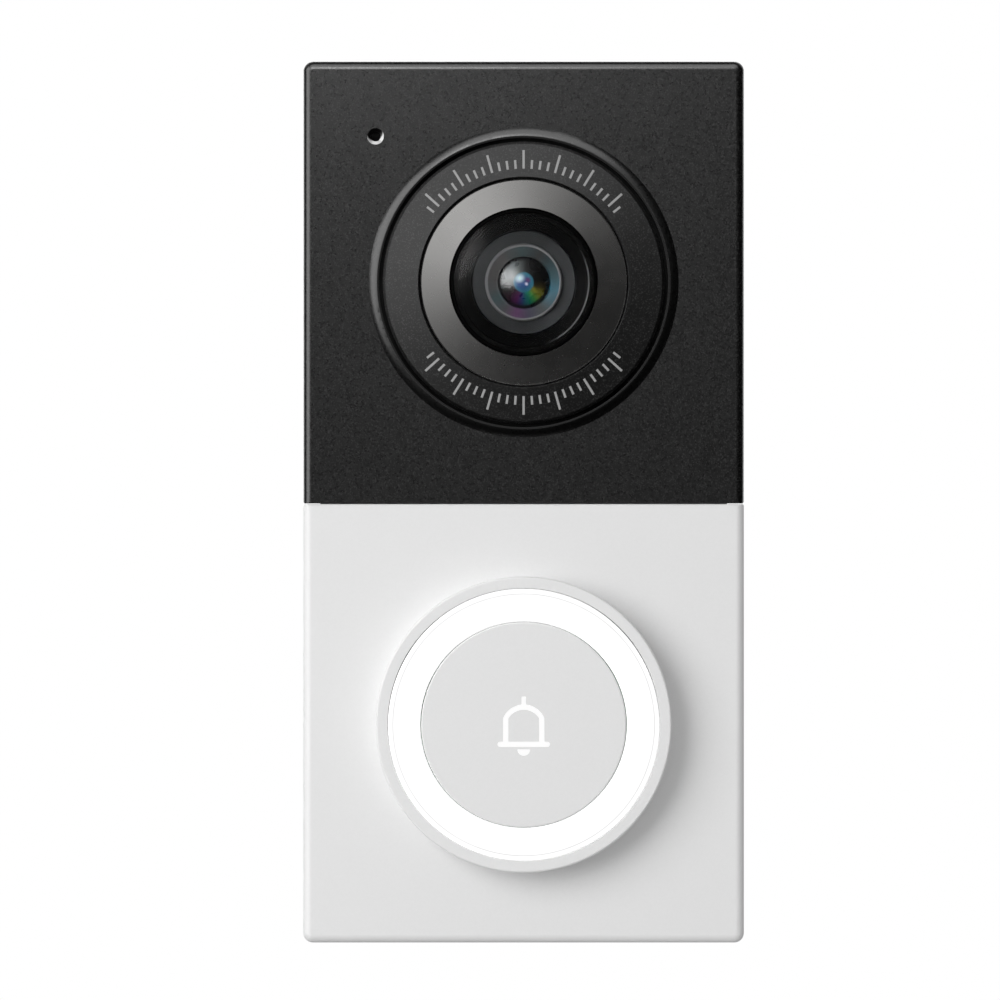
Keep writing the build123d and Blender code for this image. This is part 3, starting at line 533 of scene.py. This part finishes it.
# ---- scale marks on the bezel ---------------------------------------------------------------
def bezel_marks():
    """Two arcs of fine printed marks on the bezel's cone, every fourth one long, like a lens scale."""
    mesh = bpy.data.meshes.new("bezel_scale_marks")
    shape = bmesh.new()
    for middle_angle in (90, 270):
        for step in range(-MARKS_PER_SIDE, MARKS_PER_SIDE + 1):
            outer = SHORT_MARK_OUTER_R if step % LONG_MARK_EVERY else LONG_MARK_OUTER_R
            raised_bar(shape, middle_angle + step * MARK_STEP, MARK_INNER_R, outer)
    bmesh.ops.recalc_face_normals(shape, faces=shape.faces)
    shape.to_mesh(mesh)
    shape.free()
    marks = bpy.data.objects.new("bezel_scale_marks", mesh)
    bpy.context.scene.collection.objects.link(marks)
    mesh.materials.append(plastic("print_grey", (0.36, 0.36, 0.36), 0.5, 0.2 * MM, 0.002 * MM).material)
    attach(marks, "unit")


def bezel_height(radius):
    """Y of the bezel's cone at a radius from the lens axis."""
    share = (radius - CONE_INNER_R) / (CONE_OUTER_R - CONE_INNER_R)
    return CONE_FRONT_Y + share * CONE_DROP


def raised_bar(shape, angle, inner, outer):
    """A thin bar along a radius, standing proud of the bezel, its top edges chamfered."""
    turn = math.radians(angle)
    out = Vector((math.cos(turn), 0, math.sin(turn)))
    across = Vector((-math.sin(turn), 0, math.cos(turn)))
    rings = []
    for inset, lift in ((0, -MARK_SUNK), (0, MARK_PROUD / 2), (MARK_CHAMFER, MARK_PROUD)):
        near, far = inner + inset, outer - inset
        loop = []
        for radius, side in ((near, -1), (far, -1), (far, 1), (near, 1)):
            point = LENS + out * radius + across * side * (MARK_HALF_WIDTH - inset)
            point.y = bezel_height(radius) - lift
            loop.append(shape.verts.new(point))
        rings.append(loop)
    for lower, upper in zip(rings, rings[1:]):
        for n in range(4):
            shape.faces.new((lower[n], lower[(n + 1) % 4], upper[(n + 1) % 4], upper[n]))
    shape.faces.new(rings[-1])
    shape.faces.new(rings[0][::-1])


# ---- studio ---------------------------------------------------------------------------------
# Lengths in metres, the lens and sensor in millimetres, and angles in degrees.
FILL = 0.47
GLOW_OFF_AXIS, GLOW_AZIMUTH, GLOW_POWER = 38, 133, 5.6
GLOW_PEAK, GLOW_FLOOR = 0.55, 0.01
LIGHT_DISTANCE, NEAR_LIGHT_DISTANCE = 0.8, 0.25
FLOOR_HALF, FLOOR_LEVEL, FLOOR_GLOW = 15.0, -1.4, 0.42
PICTURE_SIZE = 113.44 * MM
PICTURE_CENTRE_X, PICTURE_CENTRE_Z = -2.68 * MM, 0.23 * MM
FOCAL_LENGTH, SENSOR_WIDTH = 400, 36
CLIP_START, CLIP_END = 0.05, 20
COVERS = ("upper_cover", "lower_cover", "lens_bezel", "button_cap")


def towards(off_axis, azimuth):
    """Unit vector off_axis degrees away from straight in front, azimuth counted from +X up to +Z."""
    tilt, turn = math.radians(off_axis), math.radians(azimuth)
    return Vector((math.sin(tilt) * math.cos(turn), -math.cos(tilt), math.sin(tilt) * math.sin(turn)))


def studio_world():
    """Plain white behind the object, an even fill, and a soft glow at the upper left in reflections."""
    world = bpy.data.worlds.new("studio")
    bpy.context.scene.world = world
    world.use_nodes = True
    tree = world.node_tree
    tree.nodes.clear()

    def background(strength):
        made = add_node(tree, "ShaderNodeBackground")
        made.inputs["Color"].default_value = (1, 1, 1, 1)
        made.inputs["Strength"].default_value = strength
        return made

    def choose(ray, otherwise, chosen):
        """The chosen background for one kind of ray, and the other for the rest."""
        made = add_node(tree, "ShaderNodeMixShader")
        tree.links.new(path.outputs[ray], made.inputs["Fac"])
        tree.links.new(otherwise.outputs[0], made.inputs[1])
        tree.links.new(chosen.outputs[0], made.inputs[2])
        return made

    place = add_node(tree, "ShaderNodeTexCoord")
    lobe = add_node(tree, "ShaderNodeVectorMath", operation="DOT_PRODUCT")
    lobe.inputs[1].default_value = towards(GLOW_OFF_AXIS, GLOW_AZIMUTH)
    tree.links.new(place.outputs["Generated"], lobe.inputs[0])
    ahead = math_node(tree, "MAXIMUM", lobe.outputs["Value"], 0.0)
    falloff = math_node(tree, "POWER", ahead, GLOW_POWER)
    glow = math_node(tree, "MULTIPLY_ADD", falloff, GLOW_PEAK, GLOW_FLOOR)
    mirrored = background(1.0)
    tree.links.new(glow, mirrored.inputs["Strength"])

    path = add_node(tree, "ShaderNodeLightPath")
    fill_or_glow = choose("Is Diffuse Ray", mirrored, background(FILL))
    seen = choose("Is Camera Ray", fill_or_glow, background(1.0))
    tree.links.new(seen.outputs[0], add_node(tree, "ShaderNodeOutputWorld").inputs["Surface"])


def softbox(name, aim, size, radiance, distance=LIGHT_DISTANCE, target=(0, 0, 0)):
    """A round area light facing target, from the unit direction aim."""
    data = bpy.data.lights.new(name, "AREA")
    data.shape = "DISK"
    data.size = size
    area = math.pi * size**2 / 4
    data.energy = radiance * math.pi * area
    lamp = bpy.data.objects.new(name, data)
    bpy.context.scene.collection.objects.link(lamp)
    lamp.location = Vector(target) + aim * distance
    lamp.rotation_mode = "QUATERNION"
    lamp.rotation_quaternion = aim.to_track_quat("Z", "Y")
    lamp.visible_camera = False
    return lamp


def floor():
    """A pale floor far below, evened out by its own faint glow. It doesn't light the object."""
    mesh = bpy.data.meshes.new("floor")
    signs = ((-1, -1), (1, -1), (1, 1), (-1, 1))
    corners = [(x * FLOOR_HALF, y * FLOOR_HALF, FLOOR_LEVEL) for x, y in signs]
    mesh.from_pydata(corners, [], [(0, 1, 2, 3)])
    made = bpy.data.objects.new("floor", mesh)
    bpy.context.scene.collection.objects.link(made)
    pale = Surface("floor_pale", grey(0.82), 0.8)
    pale.mottle(40 * MM, 0.01)
    pale.shader.inputs["Emission Color"].default_value = (1, 1, 1, 1)
    pale.shader.inputs["Emission Strength"].default_value = FLOOR_GLOW
    made.data.materials.append(pale.material)
    for part_of_light in ("visible_diffuse", "visible_glossy", "visible_transmission", "visible_shadow"):
        setattr(made, part_of_light, False)


def camera():
    """A long lens straight in front. The square picture spans PICTURE_SIZE at the face."""
    data = bpy.data.cameras.new("camera")
    data.sensor_width = SENSOR_WIDTH
    data.lens = FOCAL_LENGTH
    made = bpy.data.objects.new("camera", data)
    bpy.context.scene.collection.objects.link(made)
    distance = PICTURE_SIZE * FOCAL_LENGTH / SENSOR_WIDTH
    made.location = (PICTURE_CENTRE_X, FACE_Y - distance, PICTURE_CENTRE_Z)
    made.rotation_euler = (math.radians(90), 0, 0)
    data.clip_start = CLIP_START
    data.clip_end = CLIP_END
    bpy.context.scene.camera = made


def glint(name, receivers, aim, **light):
    """A softbox that only shows as a reflection, and only on the receiving parts."""
    lamp = softbox(name, aim, **light)
    lamp.visible_diffuse = False
    lamp.visible_transmission = False
    lit = bpy.data.collections.new(name + "_receivers")
    for receiver in receivers:
        lit.objects.link(nodes[receiver])
    lamp.light_linking.receiver_collection = lit


def lights():
    key = softbox("key", towards(43, 159), size=0.68, radiance=3.95)
    key.visible_glossy = False
    softbox("back", Vector((-0.2, 0.9, 0.3)).normalized(), size=0.7, radiance=3.0)
    black = ("upper_cover",)
    for side, name in ((1, "right"), (-1, "left")):
        below = Vector((side * 0.66, 0.68, -0.3)).normalized()
        above = Vector((side * 0.5, 0.65, 0.57)).normalized()
        glint(name + "_below", black, below, size=0.8, radiance=2.6)
        glint(name + "_above", black, above, size=0.8, radiance=1.3)
    near = {"distance": NEAR_LIGHT_DISTANCE, "target": LENS}
    glint("near_glint", black, towards(27, 107), size=0.09, radiance=20.0, **near)
    glint("top_glint", COVERS, towards(50, 88), size=0.8, radiance=5.5)
    glint("left_glint", COVERS, towards(50, 162), size=0.8, radiance=7.5)
    glint("dome_glint", ("lens_dome",), towards(32, 148), size=0.36, radiance=2.4, target=LENS)


dress_housing()
dress_camera()
dress_button()
dress_metal_parts()
dress_electronics()
smooth_nodes()
squeezed("button_return_spring")
squeezed("button_seal")
bezel_marks()
studio_world()
lights()
floor()
camera()
bpy.context.scene.view_settings.view_transform = "Standard"
